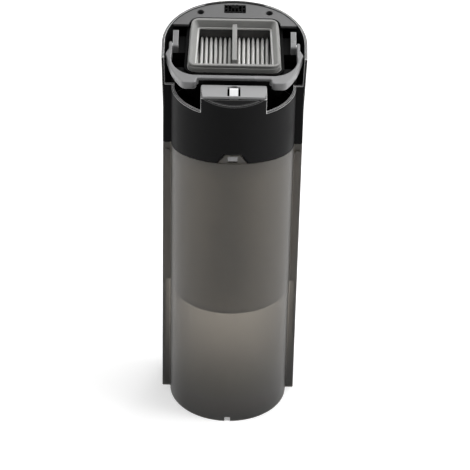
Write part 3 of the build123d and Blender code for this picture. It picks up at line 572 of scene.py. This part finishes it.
SEAL_RUBBER = Finish("seal_rubber_black", (0.008, 0.008, 0.008), Gloss.MATT, specular=0.1,
                     grain_scale=2200)
PLAIN_STEEL = Finish("plain_steel_brushed", (0.6, 0.6, 0.61), Gloss.HALF_GLOSS, metallic=1.0,
                     grain_scale=2600, grain_stretch=(1.0, 1.0, 0.08))
PALE_SATIN = Finish("latch_plate_satin", (0.28, 0.28, 0.283), Gloss.SATIN, specular=0.4)
# black plastic with a painted highlight: pale along its edges above the shoulder
RIM_BLACK = EdgeHighlightFinish("black_plastic_half_gloss", (0.011, 0.011, 0.0113), Gloss.DULL,
                         specular=0.03, edge=0.0008)
# black plastic of the lid's wells, set darker than the rim's black as painted shade in the recess
WELL_BLACK_SHADED = Finish("black_plastic_satin", (0.003, 0.003, 0.0031), Gloss.DULL, specular=0.04)


class SubAssembly:
    """Solids of one body, with the pieces that are made for it and the finish of each slot."""

    body: str

    def build(self) -> List[bpy.types.Object]:
        """Makes the pieces that stand in for plain solids, here none."""
        return []

    def finishes(self) -> Dict[str, Finish]:
        """Gives the finish of each of the body's slots."""
        raise NotImplementedError

    def dress(self) -> List[str]:
        """Gives each solid of the body the finish of its slot.

        Returns:
            The names of the solids that were dressed.
        """
        slots = {s["node"]: s["material_slot"] for s in frame["record"]["subparts"]}
        finishes = self.finishes()
        solids = frame["record"]["behaviour"]["bodies"][self.body]
        for node in solids:
            skin = frame["nodes"][node].data.materials
            skin.clear()
            skin.append(finishes[slots[node]].material())
        return solids


@dataclass
class TankAssembly(SubAssembly):
    """The smoke-tinted tank with its inlet pipe, seals and tab catch."""

    body: str = "tank"
    wall: float = 0.0024
    wall_pass: float = 0.62
    wall_grain: float = 0.000004

    def finishes(self) -> Dict[str, Finish]:
        """Gives the slots' finishes, with a tint that one wall's thickness sets."""
        density = -math.log(self.wall_pass) / (self.wall * (1 - SmokeFinish.absorb[0]))
        return {
            "smoke_plastic": SmokeFinish("smoke_plastic_clear", (0.42, 0.384, 0.33), Gloss.SATIN,
                                         unevenness=0.03, grain_depth=self.wall_grain, edge=0,
                                         density=density),
            "light_grey_satin": PALE_SATIN,
            "dark_plastic": Finish("dark_plastic_satin", (0.05, 0.047, 0.044)),
            "rubber": SEAL_RUBBER,
        }


@dataclass
class LidAssembly(SubAssembly):
    """The black lid with its cover, deck, filter well, probes, latch housing and handle ears."""

    body: str = "lid"
    deck_grain: float = 0.00003
    screw_edge: float = 0.0002

    def finishes(self) -> Dict[str, Finish]:
        """Gives the slots' finishes."""
        return {
            "black_gloss": RIM_BLACK,
            "black_satin": WELL_BLACK_SHADED,
            "grey_satin": Finish("deck_plastic_satin", (0.09, 0.09, 0.0908), shade=0.12,
                                 grain_depth=self.deck_grain),
            "light_grey_satin": PALE_SATIN,
            "grey_gloss": HandleAssembly().grey(),
            "steel": PLAIN_STEEL,
            "dark_steel": Finish("blackened_steel", (0.003, 0.003, 0.003), Gloss.MATT,
                                 specular=0.1, edge=self.screw_edge),
            "rubber": SEAL_RUBBER,
        }


@dataclass
class LatchAssembly(SubAssembly):
    """The push button, the pale hook that goes down with it and the leaf spring under its arm."""

    body: str = "latch"
    hook_edge: float = 0.0003

    def build(self) -> List[bpy.types.Object]:
        """Makes the leaf spring from a merged copy of its solid, fixed to the body that holds the
        latch joint.

        Returns:
            The leaf spring.
        """
        mesh = frame["nodes"]["latch_spring"].data.copy()
        shape = bmesh.new()
        shape.from_mesh(mesh)
        bmesh.ops.remove_doubles(shape, verts=shape.verts, dist=MERGE_DISTANCE)
        shape.to_mesh(mesh)
        shape.free()
        mesh.materials.clear()
        mesh.materials.append(PLAIN_STEEL.material())
        leaf = new_object("leaf_spring", mesh)
        press = joint_named("latch_press")
        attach(leaf, press["parent"])
        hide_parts("latch_spring")
        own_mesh(leaf)
        return [leaf]

    def finishes(self) -> Dict[str, Finish]:
        """Gives the slots' finishes."""
        return {
            "black_gloss": RIM_BLACK,
            "pale_gloss": Finish("hook_plastic_pale", (0.85, 0.85, 0.856), Gloss.HALF_GLOSS,
                                 edge=self.hook_edge),
        }


@dataclass
class FilterAssembly(SubAssembly):
    """The lift-out filter: seal, flange, frame, bar and one folded sheet of cloth."""

    body: str = "filter"
    pleats: int = 16
    thickness: float = 0.0005
    steps: int = 12
    rows: int = 15
    crease: float = 0.985
    wander: float = 0.0003
    wander_scale: float = 70.0
    weave_depth: float = 0.00008

    def finishes(self) -> Dict[str, Finish]:
        """Gives the slots' finishes."""
        return {
            "filter_rubber": Finish("filter_seal_rubber", (0.28, 0.28, 0.272), Gloss.MATT,
                                    specular=0.35, grain_scale=2000),
            "filter_flange": Finish("filter_flange_plastic", (0.58, 0.58, 0.567)),
            "filter_frame": Finish("filter_frame_plastic", (0.05, 0.05, 0.0483), Gloss.DULL,
                                   specular=0.3),
            "pleat_cloth": FoldFinish("pleat_cloth_weave", (0.87, 0.865, 0.847), Gloss.WOVEN,
                                      specular=0.15, grain_scale=3200,
                                      grain_depth=self.weave_depth),
        }

    def build(self) -> List[bpy.types.Object]:
        """Makes the sheet in the space of its plain solid and stands it in for that solid.

        Returns:
            The cloth object.
        """
        turn = slanted_top()
        low, high = extent_along("filter_media", turn)
        middle = (low + high) / 2
        sizes = {
            "Pleats": self.pleats,
            "Width": high.x - low.x,
            "Length": high.y - low.y,
            "Depth": high.z - low.z - 2 * self.thickness,
            "Thickness": self.thickness,
            "Wander": self.wander,
            "Centre": Vector((0, middle.y, middle.z)),
            "Tilt": Vector((turn.to_euler().x, 0, 0)),
        }
        cloth = self.folding_rule().mesh("pleated_cloth", sizes)
        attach(cloth, "filter")
        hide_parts("filter_media")
        return [cloth]

    def folding_rule(self) -> ShapeNodes:
        """Builds the folding rule: a flat grid, waved across, thickened and tilted.

        Returns:
            The finished tree.
        """
        nodes = ShapeNodes("pleated_cloth_rule")
        pleats = nodes.size("Pleats", "NodeSocketInt")
        width, length = nodes.size("Width"), nodes.size("Length")
        depth, thickness = nodes.size("Depth"), nodes.size("Thickness")
        wander = nodes.size("Wander")
        centre = nodes.size("Centre", "NodeSocketVector")
        tilt = nodes.size("Tilt", "NodeSocketVector")
        across = nodes.math("ADD", nodes.math("MULTIPLY", pleats, self.steps), 1)
        sheet = nodes.add("GeometryNodeMeshGrid", Size_X=width, Size_Y=length, Vertices_X=across,
                          Vertices_Y=self.rows)
        place = nodes.add("GeometryNodeInputPosition").outputs[0]
        aside = nodes.add("ShaderNodeSeparateXYZ", Vector=place).outputs["X"]
        turns = nodes.math("MULTIPLY", nodes.math("DIVIDE", aside, width), pleats)
        wave = nodes.math("COSINE", nodes.math("MULTIPLY", turns, 2 * math.pi))
        fold = nodes.math("ARCSINE", nodes.math("MULTIPLY", wave, self.crease))
        share = nodes.math("DIVIDE", fold, 2 * math.asin(self.crease))
        level = nodes.math("MULTIPLY", share, depth)
        noise = nodes.add("ShaderNodeTexNoise", Vector=place, Scale=self.wander_scale, Detail=1.0)
        sway = nodes.math("MULTIPLY", nodes.math("SUBTRACT", noise.outputs[0], 0.5), wander)
        shift = nodes.add("ShaderNodeCombineXYZ", X=sway, Z=level)
        waved = nodes.add("GeometryNodeSetPosition", Geometry=sheet.outputs["Mesh"],
                          Offset=shift.outputs[0])
        thick = nodes.add("GeometryNodeExtrudeMesh", Mesh=waved.outputs[0],
                          Offset_Scale=thickness, Individual=False)
        under = nodes.add("GeometryNodeFlipFaces", Mesh=waved.outputs[0])
        both = nodes.add("GeometryNodeJoinGeometry")
        for side in (thick, under):
            nodes.feed(both.inputs[0], side.outputs["Mesh"])
        closed = nodes.add("GeometryNodeMergeByDistance", Geometry=both.outputs[0],
                           Distance=MERGE_DISTANCE)
        moved = nodes.add("GeometryNodeTransform", Geometry=closed.outputs[0], Translation=centre)
        turned = nodes.add("GeometryNodeTransform", Geometry=moved.outputs[0], Rotation=tilt)
        smooth = nodes.add("GeometryNodeSetShadeSmooth", Geometry=turned.outputs[0])
        nodes.finish(smooth.outputs[0], self.finishes()["pleat_cloth"].material())
        return nodes


@dataclass
class HandleAssembly(SubAssembly):
    """The swinging handle with the dark strip along its grip."""

    body: str = "handle"
    edge: float = 0.0006
    highlight_width: float = 0.0007

    def grey(self) -> EdgeHighlightFinish:
        """Gives the grey of the handle and its ears, with a painted highlight along every edge."""
        # painted highlight: pale colour along every edge of the handle, at all heights
        return EdgeHighlightFinish("handle_plastic_half_gloss", (0.18, 0.18, 0.183), Gloss.POLISHED,
                            specular=0.6, edge=self.edge, highlight_colour=(0.6, 0.6, 0.6),
                            highlight_width=self.highlight_width, highlight_low=0.0, highlight_high=0.01, faint_share=1.0)

    def finishes(self) -> Dict[str, Finish]:
        """Gives the slots' finishes."""
        return {"grey_gloss": self.grey(), "rubber": SEAL_RUBBER}


@dataclass
class Camera:
    """The long lens that looks down on the tank from the front."""

    azimuth: float = -0.27
    elevation: float = 33.27
    roll: float = 1.2
    distance: float = 2.0
    target: Vector = field(default_factory=lambda: Vector((0, -0.0096, 0.17)))
    focal_pixels: float = 2350.0
    centre_pixels: Tuple[float, float] = (230.9, 226.1)
    sensor: float = 36.0
    reach: float = 50.0

    def build(self) -> bpy.types.Object:
        """Makes the camera and sets it as the scene's.

        Returns:
            The camera object.
        """
        data = bpy.data.cameras.new("tank_camera")
        data.sensor_width = self.sensor
        data.lens = self.focal_pixels / IMAGE_PIXELS * self.sensor
        data.shift_x = 0.5 - self.centre_pixels[0] / IMAGE_PIXELS
        data.shift_y = self.centre_pixels[1] / IMAGE_PIXELS - 0.5
        data.clip_end = self.reach
        obj = new_object("tank_camera", data)
        az, el = math.radians(self.azimuth), math.radians(self.elevation)
        away = Vector((math.sin(az) * math.cos(el), -math.cos(az) * math.cos(el), math.sin(el)))
        turn = (-away).to_track_quat("-Z", "Y").to_matrix().to_4x4()
        spin = Matrix.Rotation(math.radians(self.roll), 4, "Z")
        obj.matrix_world = Matrix.Translation(self.target + away * self.distance) @ turn @ spin
        bpy.context.scene.camera = obj
        return obj


@dataclass(frozen=True)
class SoftBox:
    """A square lamp that faces the tank."""

    name: str
    place: Triple
    size: float
    power: float

    def build(self) -> bpy.types.Object:
        """Makes the lamp.

        Returns:
            The lamp object.
        """
        lamp = bpy.data.lights.new(self.name, "AREA")
        lamp.shape = "SQUARE"
        lamp.size = self.size
        lamp.energy = self.power
        obj = new_object(self.name, lamp)
        obj.location = self.place
        obj.rotation_mode = "QUATERNION"
        obj.rotation_quaternion = (LAMP_AIM - obj.location).to_track_quat("-Z", "Y")
        return obj


@dataclass
class Studio:
    """Pale floor, white surround and soft boxes."""

    floor_half: float = 6.0
    floor_colour: float = 0.88
    floor_glow: float = 0.32
    far_glow: float = 0.95
    near: float = 0.5
    far: float = 2.6
    ambient: float = 0.12
    lamps: Tuple[SoftBox, ...] = (
        SoftBox("overhead_box", (0.25, 0.0, 2.4), 2.0, 24.0),
        SoftBox("rear_box_right", (0.36, 0.52, 1.25), 0.5, 3.0),
        SoftBox("rear_box_low", (0.35, 1.25, 1.15), 0.6, 3.0),
        SoftBox("side_box_right", (1.2, -0.15, 0.6), 1.0, 12.6),
        SoftBox("side_box_left", (-1.2, -0.1, 0.6), 0.7, 8.4),
        SoftBox("edge_box_right", (0.84, -0.17, 1.1), 0.3, 2.4),
    )

    def build(self) -> List[bpy.types.Object]:
        """Makes the floor, the surround and the lamps.

        Returns:
            The floor and the lamps.
        """
        floor = self.floor()
        self.surround()
        return [floor] + [lamp.build() for lamp in self.lamps]

    def floor(self) -> bpy.types.Object:
        """Makes the floor, white where it is lit, grey in the shadow and glowing far away.

        Returns:
            The floor object.
        """
        half = self.floor_half
        corners = [(-half, -half, 0), (half, -half, 0), (half, half, 0), (-half, half, 0)]
        mesh = bpy.data.meshes.new("floor")
        mesh.from_pydata(corners, [], [(0, 1, 2, 3)])
        nodes = MaterialNodes("floor_white")
        level = nodes.ranged(nodes.measure("LENGTH", nodes.place()), From_Min=self.near,
                             From_Max=self.far, To_Min=self.floor_glow, To_Max=self.far_glow)
        matt = nodes.add("ShaderNodeBsdfDiffuse", Color=(*[self.floor_colour] * 3, 1))
        glow = nodes.add("ShaderNodeEmission",
                         Strength=nodes.math("MULTIPLY", nodes.seen(), level))
        both = nodes.add("ShaderNodeAddShader")
        for target, shader in zip(both.inputs, (matt, glow)):
            nodes.feed(target, shader.outputs[0])
        nodes.feed(nodes.output.inputs["Surface"], both.outputs["Shader"])
        mesh.materials.append(nodes.material)
        return new_object("floor", mesh)

    def surround(self) -> None:
        """Makes the world white where it is looked at and softer where it only lights."""
        world = bpy.data.worlds.new("white_surround")
        world.use_nodes = True
        nodes = NodeMaker(world.node_tree)
        shade = nodes.tree.nodes["Background"]
        nodes.feed(shade.inputs["Color"], (1, 1, 1, 1))
        nodes.feed(shade.inputs["Strength"], nodes.ranged(nodes.seen(), To_Min=self.ambient))
        bpy.context.scene.world = world


def main() -> None:
    """Builds and dresses the sub-assemblies in order, then the studio and the camera."""
    logging.basicConfig(level=logging.INFO, format="%(name)s: %(message)s")
    clear_start_scene()
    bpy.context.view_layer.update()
    bpy.context.scene.view_settings.view_transform = "Standard"
    for assembly in (TankAssembly(), LidAssembly(), LatchAssembly(), FilterAssembly(),
                     HandleAssembly()):
        for piece in assembly.build():
            LOG.info("%s: built %s", assembly.body, piece.name)
        for node in assembly.dress():
            LOG.info("%s: dressed %s", assembly.body, node)
    for obj in Studio().build():
        LOG.info("studio: %s", obj.name)
    LOG.info("camera: %s", Camera().build().name)


if __name__ == "__main__":
    main()
